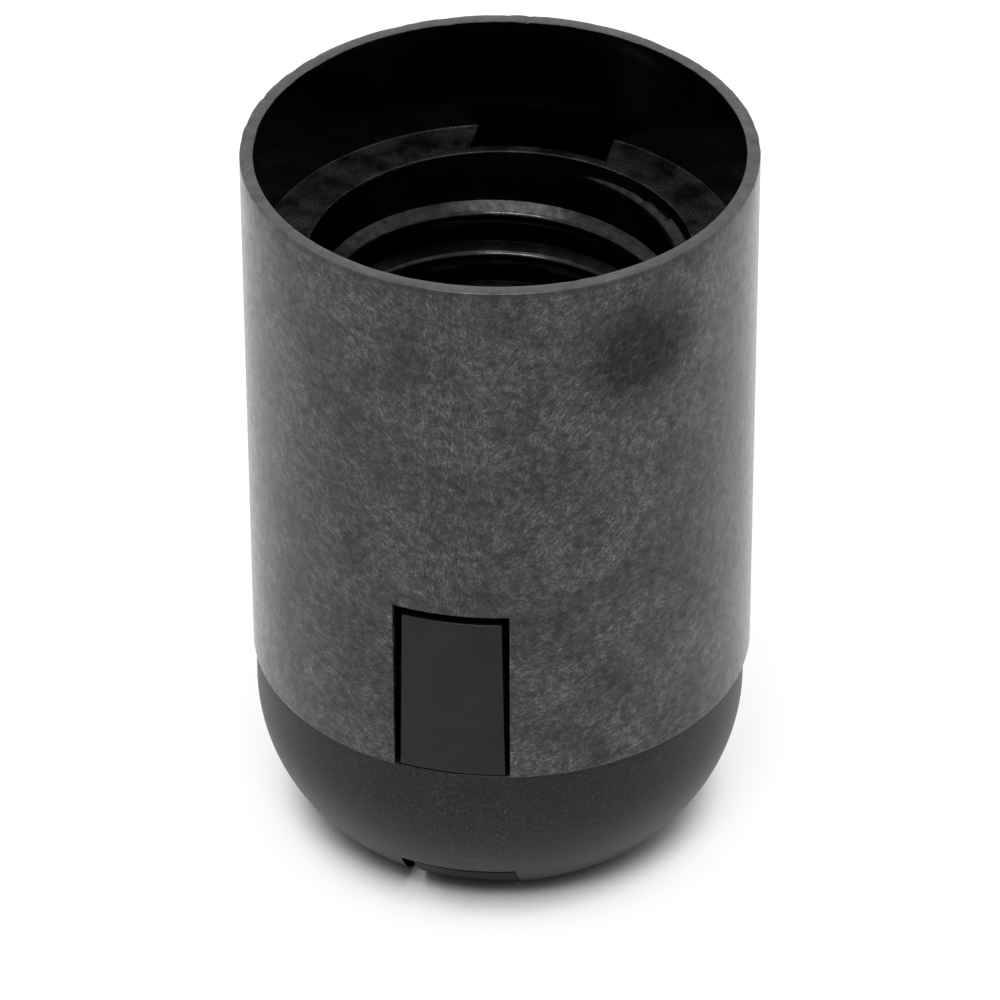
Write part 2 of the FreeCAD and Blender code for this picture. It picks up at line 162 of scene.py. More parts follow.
class TerminalSizes(bpy.types.PropertyGroup):
    screw_radius: length("Outer radius of the screw threads", 1.5)
    screw_pitch: length("Pitch of the screw threads", 0.5)
    thread_depth: length("Depth of the screw threads", 0.28)
    slot_width: length("Width of the screwdriver slots", 0.7)
    slot_depth: length("Depth of the screwdriver slots", 0.9)
    strip_rounding: length("Edge rounding of the stamped strips", 0.08)


class FinishColours(bpy.types.PropertyGroup):
    sleeve: colour("Glass-filled black plastic of the sleeve", "#060606")
    cap: colour("Black plastic of the cap", "#090909")
    carrier: colour("Smooth black plastic of the carrier", "#0e0e0e")
    fibre: colour("Pale streaks of glass fibre in the plastic", "#565656")
    inside: colour("Polished black of the sleeve's inside", "#010101")
    brass: colour("Stamped and drawn brass", "#d9b066")
    bronze: colour("Rolled phosphor bronze", "#cf9d6a")
    zinc: colour("Zinc-plated steel", "#c3c6cb")


class StageSettings(bpy.types.PropertyGroup):
    tent_strength: number("Brightness of the tent's sides and back", 1.0)
    tent_front: number("Brightness of the tent's front", 0.3)
    front_radiance: number("Brightness of the front softbox", 17.0)
    top_radiance: number("Brightness of the top softbox", 3.2)
    paper_glow: number("How much of the paper's white is its own", 0.6, subtype="FACTOR")
    lens: number("Focal length", 280.86, unit="CAMERA")
    distance: length("From the camera to the point it looks at", 586.0)
    target_height: length("Height of the point the camera looks at", 26.85)
    target_side: length("Sideways place of that point", -0.096)
    elevation: angle("Camera angle above the horizon", 34.935)
    azimuth: angle("Camera angle towards +X from the front", 11.7)
    roll: angle("Camera roll", -0.224)


def add_node(tree, kind, inputs=None, **settings):
    """Adds a shader node. inputs gives a socket its value, or the output that feeds it."""
    node = tree.nodes.new(kind)
    for name, value in settings.items():
        setattr(node, name, value)
    for name, value in (inputs or {}).items():
        if isinstance(value, bpy.types.NodeSocket):
            tree.links.new(value, node.inputs[name])
        else:
            node.inputs[name].default_value = value
    return node


def rounded(corners, steps=4, closed=False):
    """Section points through corners of (radius, height, rounding), each rounded by an arc."""
    points = []
    count = len(corners)
    for index, (x, y, rounding) in enumerate(corners):
        here = Vector((x, y))
        at_end = not closed and index in (0, count - 1)
        if rounding == 0 or at_end:
            points.append(here)
            continue
        before = (Vector(corners[index - 1][:2]) - here).normalized()
        after = (Vector(corners[(index + 1) % count][:2]) - here).normalized()
        half = before.angle(after) / 2
        centre = here + (before + after).normalized() * (rounding / math.sin(half))
        start = here + before * (rounding / math.tan(half)) - centre
        end = here + after * (rounding / math.tan(half)) - centre
        sweep = math.atan2(start.x * end.y - start.y * end.x, start.dot(end))
        for step in range(steps + 1):
            points.append(centre + Matrix.Rotation(sweep * step / steps, 2) @ start)
    return points


def arc(centre, radius, start, end, steps):
    """Section points of an arc, with angles measured down from the outward direction."""
    return [Vector((centre[0] + radius * math.cos(a), centre[1] - radius * math.sin(a)))
            for a in np.linspace(start, end, steps + 1)]


def with_levels(points, levels, axis, closed=False):
    """The same outline, with a point wherever an edge crosses a level of radius or height."""
    result = []
    ends = points[1:] + (points[:1] if closed else [])
    for here, there in zip(points, ends):
        result.append(here)
        low, high = here[axis], there[axis]
        inside = [level for level in levels if min(low, high) + 1e-7 < level < max(low, high) - 1e-7]
        for level in sorted(inside, reverse=low > high):
            result.append(here.lerp(there, (level - low) / (high - low)))
    return result if closed else result + points[-1:]


def smooth_step(value, low, high):
    share = np.clip((value - low) / (high - low), 0.0, 1.0)
    return share * share * (3 - 2 * share)


@dataclass
class Thread:
    """A thread that winds down a bore or a shank. Its rows follow the helix, so a ridge keeps its form.

    outline is one turn of (offset along the axis, height of the ridge), from its upper end to its
    lower end. crest is the height and the turn of one place on the crest, wall gives the radius at
    a height, and the ridge sinks away between the two heights of start and of end.
    """
    outline: list
    pitch: float
    top: float
    bottom: float
    crest: tuple
    wall: object
    inward: bool
    start: tuple
    end: tuple
    angle_radius: float

    def rows(self, turned):
        """Radii and heights of the rows at column angles that grow from the first column's."""
        crest_height, crest_turn = self.crest
        first = crest_height + self.pitch * (turned[0] - crest_turn) / (2 * math.pi) + self.pitch / 2
        first += self.pitch * math.ceil((self.top - first) / self.pitch)
        turns = math.ceil((first - self.bottom) / self.pitch) + 1
        offsets, ridge = np.array(self.outline[:-1], float).T[:, None, :, None]
        rise = self.pitch * (turned - turned[0]) / (2 * math.pi)
        crests = (first - self.pitch * (np.arange(turns) + 0.5))[:, None, None] + rise
        heights = crests + offsets
        sunk = np.maximum(smooth_step(crests, *self.start), smooth_step(-crests, *np.negative(self.end)))
        stands = np.maximum(ridge - ridge.max() * sunk, 0.0)
        stands = np.where((heights > self.top) | (heights < self.bottom), 0.0, stands)
        heights = np.clip(heights, self.bottom, self.top)
        radii = self.wall(heights) + (-stands if self.inward else stands)
        return radii.reshape(-1, len(turned)), heights.reshape(-1, len(turned))


def column_turns(radius, half_lines, reach, flank_count):
    """Angles from the front at which the columns of a shell stand, for each row's radius.

    Near the front and the back the columns keep to upright planes of constant X, so that the
    sides of windows and slots are parallel. The flanks between them are divided evenly.
    """
    held = np.maximum(np.asarray(radius, float), reach)[:, None]
    lines = np.concatenate([-np.asarray(half_lines[:0:-1]), half_lines])
    front = np.arcsin(lines[None, :] / held)
    edge = front[:, -1:]
    share = np.arange(1, flank_count)[None, :] / flank_count
    right = edge + share * (math.pi - 2 * edge)
    return np.concatenate([front, right, front + math.pi, right + math.pi], axis=1)


class Shell:
    """A closed moulded shell: rows along its half section, and columns round the axis."""

    def __init__(self, sections, half_lines, reach, flank_count):
        """sections are lists of section points and threads, in their order round the outline."""
        rows, self.seams = [], []
        count = 0
        for part in sections:
            if isinstance(part, Thread):
                turns = column_turns([part.angle_radius], half_lines, reach, flank_count)
                radii, heights = part.rows(turns[0])
                self.seams.append((count, count + len(radii), len(part.outline) - 1))
            else:
                radii, heights = np.array(part, float).T[:, :, None]
                turns = column_turns(radii[:, 0], half_lines, reach, flank_count)
            rows.append(np.broadcast_arrays(radii, heights, turns))
            count += len(radii)
        self.radius, self.height, self.turn = (np.concatenate(grids) for grids in zip(*rows))
        self.mesh = bmesh.new()
        self.verts = None

    def row(self, radius, height):
        """Index of the row nearest to a section point."""
        gap = (self.radius[:, 0] - radius) ** 2 + (self.height[:, 0] - height) ** 2
        return int(np.argmin(gap))

    def corners(self):
        """Vertex indices of the corners of every face of the closed grid."""
        index = np.arange(self.radius.size).reshape(self.radius.shape)
        below, beside = np.roll(index, -1, axis=0), np.roll(index, -1, axis=1)
        quads = np.stack([index, beside, np.roll(below, -1, axis=1), below], axis=-1)
        for start, end, per_turn in self.seams:
            quads[start:end - 1, -1] = -1
            upper = np.arange(start + per_turn, end - 1)
            quads[upper, -1] = np.stack([index[upper, -1], index[upper - per_turn, 0],
                                         index[upper - per_turn + 1, 0], index[upper + 1, -1]], axis=-1)
        quads = quads.reshape(-1, 4)
        return quads[quads[:, 0] >= 0]

    def build(self, removed=None):
        """Makes the faces, apart from those whose middle satisfies removed(x, y, z, r)."""
        x = self.radius * np.sin(self.turn)
        y = -self.radius * np.cos(self.turn)
        points = np.stack([x, y, self.height], axis=-1).reshape(-1, 3)
        quads = self.corners()
        if removed is not None:
            x, y, z = points[quads].mean(axis=1).T
            quads = quads[~removed(x, y, z, np.hypot(x, y))]
        verts = np.empty(len(points), dtype=object)
        verts[:] = [self.mesh.verts.new(p) for p in points]
        for quad in quads:
            self.mesh.faces.new(list(verts[quad]))
        self.verts = verts.reshape(self.radius.shape)

    def between(self, half_width, back):
        """Columns on the front or the back that stand within half a width of the middle."""
        x = self.radius[0] * np.sin(self.turn[0])
        chosen = (abs(x) < half_width + 1e-6) & ((np.cos(self.turn[0]) < 0) == back)
        return np.nonzero(chosen)[0]

    def strip(self, upper, lower):
        """A row of faces between two equally long lists of vertices."""
        for corners in zip(upper, upper[1:], lower[1:], lower):
            self.mesh.faces.new(corners)

    def carve(self, half_width, back, places):
        """Faces of a cut through section places, which are rows of the shell or new ones."""
        columns = self.between(half_width, back)
        lines = []
        for radius, height in places:
            row = self.row(radius, height)
            if math.hypot(self.radius[row, 0] - radius, self.height[row, 0] - height) < 0.02 * MM:
                lines.append(list(self.verts[row, columns]))
                continue
            side = 1 if back else -1
            reach = [(v.co.x, side * math.sqrt(radius ** 2 - v.co.x ** 2), height) for v in lines[-1]]
            lines.append([self.mesh.verts.new(place) for place in reach])
        for upper, lower in zip(lines, lines[1:]):
            self.strip(upper, lower)

    def close(self):
        """Fills the flat holes that are left, such as the sides of a window, and welds the rows."""
        open_edges = [e for e in self.mesh.edges if len(e.link_faces) == 1]
        bmesh.ops.holes_fill(self.mesh, edges=open_edges, sides=0)
        self.weld()

    def weld(self):
        """Merges the rows that meet where a thread ends or a section touches the axis."""
        bmesh.ops.remove_doubles(self.mesh, verts=self.mesh.verts, dist=0.0005 * MM)
        bmesh.ops.dissolve_degenerate(self.mesh, edges=self.mesh.edges, dist=0.0002 * MM)


def soften(mesh, width, least_degrees=50):
    """Rounds the sharp edges of a bmesh, as no mould or die leaves a perfectly sharp one."""
    least = math.radians(least_degrees)
    edges = [e for e in mesh.edges if len(e.link_faces) == 2 and e.calc_face_angle(0.0) > least]
    bmesh.ops.bevel(mesh, geom=edges, offset=width, segments=2, profile=0.5, affect="EDGES",
                    clamp_overlap=True)


def new_object(name, data):
    item = bpy.data.objects.new(name, data)
    bpy.context.scene.collection.objects.link(item)
    return item


def object_of(name, mesh):
    """The object of a bmesh, which is freed."""
    data = bpy.data.meshes.new(name)
    mesh.to_mesh(data)
    mesh.free()
    return new_object(name, data)


def seat(name, mesh, body, materials, node):
    """Makes the object of a finished bmesh, seats it on its body and gives it its materials."""
    sharp_angle = math.radians(35)
    loose = [v for v in mesh.verts if not v.link_faces]
    bmesh.ops.delete(mesh, geom=loose, context="VERTS")
    bmesh.ops.recalc_face_normals(mesh, faces=mesh.faces)
    for face in mesh.faces:
        face.smooth = True
    for edge in mesh.edges:
        edge.smooth = len(edge.link_faces) == 2 and edge.calc_face_angle(math.pi) < sharp_angle
    piece = object_of(name, mesh)
    for material in materials:
        piece.data.materials.append(material)
    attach(piece, body)
    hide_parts(node)


def cad_copy(node):
    """The welded mesh of a CAD node, with its flat faces joined, for rounding its edges."""
    mesh = bmesh.new()
    mesh.from_mesh(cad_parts[node].data)
    bmesh.ops.remove_doubles(mesh, verts=mesh.verts, dist=0.001 * MM)
    bmesh.ops.dissolve_limit(mesh, angle_limit=math.radians(0.5), verts=mesh.verts, edges=mesh.edges)
    return mesh


def polar_band(outline, sides, columns):
    """A closed block curved round the axis at the front: a section swept over a width.

    sides gives the X places of its two sides at a height.
    """
    mesh = bmesh.new()
    grid = []
    for r, z in outline:
        turns = [math.asin(x / r) for x in np.linspace(*sides(z), columns)]
        grid.append([mesh.verts.new((r * math.sin(turn), -r * math.cos(turn), z)) for turn in turns])
    for here, there in zip(grid, grid[1:] + grid[:1]):
        for corners in zip(here, here[1:], there[1:], there):
            mesh.faces.new(corners)
    for side in (0, -1):
        mesh.faces.new([line[side] for line in grid])
    return mesh


def joined(*meshes):
    """One bmesh of several, and the later ones are freed."""
    whole = meshes[0]
    for other in meshes[1:]:
        data = bpy.data.meshes.new("joining")
        other.to_mesh(data)
        other.free()
        whole.from_mesh(data)
        bpy.data.meshes.remove(data)
    return whole


def opposite(mesh):
    """A copy of a bmesh on the other side of the axis."""
    copy = mesh.copy()
    bmesh.ops.rotate(copy, verts=copy.verts, matrix=Matrix.Rotation(math.pi, 3, "Z"))
    return copy


def combined(mesh, other, operation):
    """The boolean of two closed bmeshes, which are both freed."""
    for part in (mesh, other):
        bmesh.ops.recalc_face_normals(part, faces=part.faces)
    objects = [object_of("combining", mesh), object_of("combining", other)]
    modifier = objects[0].modifiers.new("combine", "BOOLEAN")
    modifier.operation = operation
    modifier.solver = "EXACT"
    modifier.object = objects[1]
    result = bmesh.new()
    result.from_object(objects[0], bpy.context.evaluated_depsgraph_get())
    for part in objects:
        bpy.data.meshes.remove(part.data)
    return result


def block(low, high):
    """A closed box between two corners."""
    mesh = bmesh.new()
    bmesh.ops.create_cube(mesh, size=1.0)
    for vert in mesh.verts:
        vert.co = [high[axis] if vert.co[axis] > 0 else low[axis] for axis in range(3)]
    return mesh


def lathe(sections, steps):
    """A closed turned part about the Z axis, from section points and threads."""
    shell = Shell(sections, [0.0], 1.0, steps // 2)
    shell.build()
    shell.weld()
    return shell.mesh


def cylinder(radius, low, high):
    return lathe([rounded([(0, low, 0), (radius, low, 0), (radius, high, 0), (0, high, 0)])], 24)


def placed(mesh, place, tilt=0.0):
    """Turns a bmesh about the Y axis, so that Z leans towards X, then moves it to a place."""
    bmesh.ops.rotate(mesh, verts=mesh.verts, matrix=Matrix.Rotation(tilt, 3, "Y"))
    bmesh.ops.translate(mesh, verts=mesh.verts, vec=place)
    return mesh


def bent_sheet(path, thickness, half_width, bend, rounding):
    """Sheet metal with rounded bends along a path of (x, z), thickened to the right of it."""
    points = [Vector(p) for p in path]
    directions = [(b - a).normalized() for a, b in zip(points, points[1:])]
    rights = [Vector((d.y, -d.x)) for d in directions]
    rights = [rights[0]] + rights + [rights[-1]]
    middle = []
    for point, before, after in zip(points, rights, rights[1:]):
        out = before + after
        middle.append(point + out * (thickness / out.dot(out)))
    line = rounded([(p.x, p.y, bend) for p in middle], steps=6)
    mesh = bmesh.new()
    rows = []
    for index, point in enumerate(line):
        ahead = line[min(index + 1, len(line) - 1)] - line[max(index - 1, 0)]
        right = Vector((ahead.y, -ahead.x)).normalized() * (thickness / 2)
        corners = []
        for side, width in ((-1, -1), (-1, 1), (1, 1), (1, -1)):
            place = point + right * side
            corners.append(mesh.verts.new((place.x, half_width * width, place.y)))
        rows.append(corners)
    for here, there in zip(rows, rows[1:]):
        for index in range(4):
            beside = (index + 1) % 4
            mesh.faces.new([here[index], here[beside], there[beside], there[index]])
    mesh.faces.new(rows[0])
    mesh.faces.new(rows[-1])
    bmesh.ops.recalc_face_normals(mesh, faces=mesh.faces)
    soften(mesh, rounding, 70)
    return mesh


def skirt_inner(sizes, height):
    """Inner radius of the drafted skirt at a height."""
    rim = CAD_BOUNDS[1][0]
    return rim - sizes.wall - (CAD_BOUNDS[1][2] - height) * math.tan(sizes.draft)


def lamp_thread(sizes, ledge_top):
    """The rounded right-handed thread in the bore, with a ridge that rises out of the entry."""
    entry_bottom = ledge_top - sizes.entry_depth
    bottom = entry_bottom - sizes.thread_length
    half_pitch, half_root, half_crest = sizes.pitch / 2, 0.93 * MM, 0.40 * MM
    rounding = 0.6 * MM
    ridge = rounded([(half_pitch, 0, 0), (half_root, 0, 0), (half_crest, sizes.crest_height, rounding),
                     (-half_crest, sizes.crest_height, rounding), (-half_root, 0, 0),
                     (-half_pitch, 0, 0)], steps=6)
    flare = sizes.mouth_radius - sizes.root_radius
    start = ledge_top - 1.25 * MM
    lead = sizes.pitch * 85 / 360

    def wall(heights):
        return sizes.root_radius + flare * np.clip((heights - entry_bottom) / sizes.entry_depth, 0, 1)

    return Thread(ridge, sizes.pitch, ledge_top - 0.4 * MM, bottom,
                  crest=(ledge_top - 4.74 * MM, math.radians(191)), wall=wall, inward=True,
                  start=(start - lead, start), end=(bottom + 1.4 * MM, bottom + 0.9 * MM),
                  angle_radius=sizes.root_radius)


def screw_thread(pitch, wall_radius, depth, top, bottom, inward, run_out=0.4 * MM):
    """A plain V thread with flat crests, which sinks away near both ends."""
    ridge = [Vector((pitch * share, height)) for share, height in (
        (0.5, 0), (0.42, 0), (0.08, depth), (-0.08, depth), (-0.42, 0), (-0.5, 0))]
    return Thread(ridge, pitch, top, bottom, crest=(top, 0.0), wall=lambda heights: wall_radius,
                  inward=inward, start=(top - run_out, top), end=(bottom + run_out, bottom),
                  angle_radius=wall_radius)


def dome_radius():
    return -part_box("dome_cap")[0].y


def dome_section(sizes, inset, floor, rounding, side_steps, corner_steps):
    """Section points of the dome at an inset from its skin, from its straight wall to its floor."""
    centre = Vector((dome_radius() - sizes.arc_radius, sizes.seam_height - sizes.straight))
    side = sizes.arc_radius - inset
    drop = centre.y - floor - rounding
    corner = Vector((centre.x + math.sqrt((side - rounding) ** 2 - drop ** 2), floor + rounding))
    meeting = math.atan2(drop, corner.x - centre.x)
    side_arc = arc(centre, side, 0, meeting, side_steps)
    return side_arc + arc(corner, rounding, meeting, math.pi / 2, corner_steps)[1:]


def new_material(name):
    """An empty material and its node tree."""
    material = bpy.data.materials.new(name)
    material.use_nodes = True
    material.node_tree.nodes.clear()
    return material, material.node_tree


def shaded(material, relief, strength, depth, inputs):
    """The material with a Principled shader, and a bump whose depth is in millimetres."""
    tree = material.node_tree
    bump = add_node(tree, "ShaderNodeBump", {"Strength": strength, "Distance": depth * MM, "Height": relief})
    shader = add_node(tree, "ShaderNodeBsdfPrincipled", {**inputs, "Normal": bump.outputs[0]})
    add_node(tree, "ShaderNodeOutputMaterial", {"Surface": shader.outputs[0]})
    return material


def object_place(tree):
    return add_node(tree, "ShaderNodeTexCoord").outputs["Object"]


def mapped(tree, value, low, high, to_low=0.0, to_high=1.0, smooth=False):
    """A value mapped from one range to another, and held inside it."""
    return add_node(tree, "ShaderNodeMapRange", {
        "Value": value, "From Min": low, "From Max": high, "To Min": to_low, "To Max": to_high},
        interpolation_type="SMOOTHSTEP" if smooth else "LINEAR").outputs["Result"]


def blended(tree, share, low, high):
    """A number or a colour between two, by a share. Each may be a value or an output."""
    is_colour = hasattr(low, "__len__")
    first = 6 if is_colour else 2
    node = add_node(tree, "ShaderNodeMix", {0: share, first: low, first + 1: high},
                    data_type="RGBA" if is_colour else "FLOAT")
    return node.outputs[first // 3]


def math_node(tree, operation, *values):
    return add_node(tree, "ShaderNodeMath", dict(enumerate(values)), operation=operation).outputs[0]


def product(tree, result, *factors):
    for factor in factors:
        result = math_node(tree, "MULTIPLY", result, factor)
    return result


def cloud(tree, size, low, high, detail=3.0):
    """Soft random patches of a size in millimetres, from 0 to 1."""
    pattern = add_node(tree, "ShaderNodeTexNoise", {
        "Vector": object_place(tree), "Scale": 1 / (size * MM), "Detail": detail, "Roughness": 0.6})
    return mapped(tree, pattern.outputs["Fac"], low, high)


def fibre_streaks(tree, radius, tilt, width, run):
    """Short fibres under the skin of a moulding that is round, all tilted alike from its axis.

    The pattern is turned about the axis as it rises, so that it has no seam.
    """
    place = object_place(tree)
    height = add_node(tree, "ShaderNodeSeparateXYZ", {0: place}).outputs["Z"]
    twist = product(tree, height, -math.tan(tilt) / radius)
    turned = add_node(tree, "ShaderNodeVectorRotate", {"Vector": place, "Angle": twist},
                      rotation_type="Z_AXIS")
    across = math.cos(tilt) / width
    stretched = add_node(tree, "ShaderNodeVectorMath", {
        0: turned.outputs[0], 1: (across, across, 1 / (run * math.cos(tilt)))}, operation="MULTIPLY")
    pattern = add_node(tree, "ShaderNodeTexNoise", {
        "Vector": stretched.outputs[0], "Scale": 1.0, "Detail": 2.0, "Roughness": 0.65})
    return mapped(tree, pattern.outputs["Fac"], 0.46, 0.70)


def fibre_filled_plastic(colours):
    """Black PBT with short glass fibres, moulded: the fibres show as fine pale streaks that fan out
    from the windows, the way the melt flowed. The rim's top face is painted paler, as painted light
    from above; the skin just below it is darker, as a painted shadow under the rim's edge; and one
    spot at the upper right that has been handled is darker too."""
    material, tree = new_material("glass_filled_pbt_moulded")
    radius, top = CAD_BOUNDS[1][0], CAD_BOUNDS[1][2]
    place = object_place(tree)
    x, y, z = add_node(tree, "ShaderNodeSeparateXYZ", {0: place}).outputs[:3]
    side = product(tree, x, y, -2 / radius ** 2)
    low = mapped(tree, z, 38 * MM, 26 * MM, smooth=True)

    def streaks(degrees):
        return fibre_streaks(tree, radius, math.radians(degrees), 0.14 * MM, 0.5 * MM)

    def towards(share, here, there):
        return blended(tree, share, here, there)

    right = towards(low, streaks(38), streaks(64))
    left = towards(low, streaks(-42), streaks(-64))
    fibres = towards(mapped(tree, side, 0.1, 0.5, smooth=True), streaks(-8), right)
    fibres = towards(mapped(tree, side, -0.1, -0.5, smooth=True), fibres, left)
    grain = cloud(tree, 0.17, 0.44, 0.68, 2.0)
    fibres = math_node(tree, "ADD", product(tree, fibres, 0.6), product(tree, grain, 0.4))
    mottle = cloud(tree, 0.7, 0.30, 0.70, 4.0)
    patches = cloud(tree, 4.0, 0.35, 0.65, 2.0)
    spot = add_node(tree, "ShaderNodeVectorMath", {0: place, 1: (13.7 * MM, -14.2 * MM, 51.4 * MM)},
                    operation="DISTANCE").outputs["Value"]
    spot = math_node(tree, "SUBTRACT", spot, product(tree, patches, 2.5 * MM))
    handled = mapped(tree, spot, 1.0 * MM, 4.5 * MM, 0.35)
    # Painted shadow: the top 0.35 mm of the skin is darker, as shade under the rim's edge.
    painted_shadow_below_rim = mapped(tree, z, top - 0.6 * MM, top - 0.35 * MM, 1.0, 0.35)
    shown = product(tree, fibres, towards(mottle, 0.15, 1.6), towards(patches, 0.5, 1.1), handled, painted_shadow_below_rim)
    # Painted light: the rim's top face is paler, for the light it catches from above.
    rim = mapped(tree, z, top - 0.10 * MM, top - 0.02 * MM)
    tone = math_node(tree, "ADD", shown, product(tree, rim, 0.35))
    gloss = product(tree, towards(mottle, 0.38, 0.62), towards(patches, 0.85, 1.05), handled)
    return shaded(material, fibres, 0.35, 0.01, {
        "Base Color": towards(tone, colours.sleeve, colours.fibre),
        "Roughness": towards(mottle, 0.26, 0.18),
        "IOR": 1.48,
        "Specular IOR Level": gloss})


def polished_plastic(colours):
    """The same plastic off the polished core of the mould: near black, with soft reflections."""
    material, tree = new_material("pbt_polished_core")
    return shaded(material, cloud(tree, 0.12, 0.3, 0.7, 1.0), 0.45, 0.005, {
        "Base Color": colours.inside,
        "Roughness": blended(tree, cloud(tree, 3.0, 0.35, 0.75), 0.16, 0.24),
        "IOR": 1.5,
        "Specular IOR Level": blended(tree, cloud(tree, 0.7, 0.35, 0.65, 5.0), 0.18, 0.42)})


def grained_plastic(colours):
    """The ledge, where the melt met last: dull black with a coarse grain."""
    material, tree = new_material("pbt_grained_ledge")
    grain = cloud(tree, 0.16, 0.35, 0.70, 2.0)
    tone = product(tree, grain, cloud(tree, 2.2, 0.35, 0.65))
    return shaded(material, grain, 0.6, 0.02, {
        "Base Color": blended(tree, product(tree, tone, 0.26), colours.inside, colours.fibre),
        "Roughness": 0.4,
        "IOR": 1.44,
        "Specular IOR Level": blended(tree, tone, 0.16, 0.8)})


def spark_eroded_plastic(colours):
    """The cap's black plastic off a spark-eroded mould: an even fine grain with tiny pale specks."""
    material, tree = new_material("pbt_spark_eroded")
    grain = cloud(tree, 0.16, 0.42, 0.70, 2.0)
    tone = product(tree, grain, blended(tree, cloud(tree, 6.0, 0.35, 0.70), 0.15, 0.45))
    tone = math_node(tree, "ADD", tone, product(tree, cloud(tree, 0.16, 0.70, 0.80, 0.0), 0.3))
    return shaded(material, grain, 0.6, 0.02, {
        "Base Color": blended(tree, product(tree, tone, 0.38), colours.cap, colours.fibre),
        "Roughness": 0.42,
        "IOR": 1.46,
        "Specular IOR Level": blended(tree, grain, 0.26, 0.31)})


def smooth_plastic(colours):
    """The carrier's unfilled black plastic off a ground mould: smooth and darker than the rest. On the
    feet its reflection is turned almost off, as painted shade for the shadow they stand in by the floor."""
    material, tree = new_material("pbt_smooth_moulded")
    grain = cloud(tree, 0.2, 0.3, 0.7, 2.0)
    z = add_node(tree, "ShaderNodeSeparateXYZ", {0: object_place(tree)}).outputs["Z"]
    return shaded(material, grain, 0.2, 0.004, {
        "Base Color": blended(tree, cloud(tree, 2.5, 0.3, 0.7), colours.carrier, colours.inside),
        "Roughness": blended(tree, grain, 0.34, 0.40),
        "IOR": 1.46,
        # Painted shade: the reflection drops from 0.3 to 0.04 below about 4.5 mm, on the feet in the floor's
        # shadow.
        "Specular IOR Level": mapped(tree, z, 4.6 * MM, 4.3 * MM, 0.3, 0.04)})


def tarnished(tree, share, tint, dulling):
    return blended(tree, share, list(tint), [channel * dulling for channel in tint[:3]] + [1.0])


def rolled_metal(name, tint, roughness, run):
    """Sheet metal as it was rolled: fine lines along the strip, and a faint tarnish in patches."""
    material, tree = new_material(name)
    stretched = add_node(tree, "ShaderNodeVectorMath", {
        0: object_place(tree), 1: (1 / run, 1 / (0.06 * MM), 1 / run)}, operation="MULTIPLY")
    lines = add_node(tree, "ShaderNodeTexNoise", {
        "Vector": stretched.outputs[0], "Scale": 1.0, "Detail": 2.0}).outputs["Fac"]
    return shaded(material, lines, 0.3, 0.004, {
        "Base Color": tarnished(tree, cloud(tree, 1.6, 0.35, 0.75), tint, 0.72),
        "Metallic": 1.0,
        "Roughness": blended(tree, lines, roughness * 0.8, roughness * 1.25)})


def zinc_plated_steel(tint):
    """Zinc-plated steel: bluish grey, with small cloudy spangles and a satin gloss."""
    material, tree = new_material("steel_zinc_plated")
    spangle = cloud(tree, 0.5, 0.35, 0.70)
    return shaded(material, cloud(tree, 0.08, 0.3, 0.7, 1.0), 0.25, 0.003, {
        "Base Color": tarnished(tree, spangle, tint, 0.78),
        "Metallic": 1.0,
        "Roughness": blended(tree, spangle, 0.26, 0.40)})


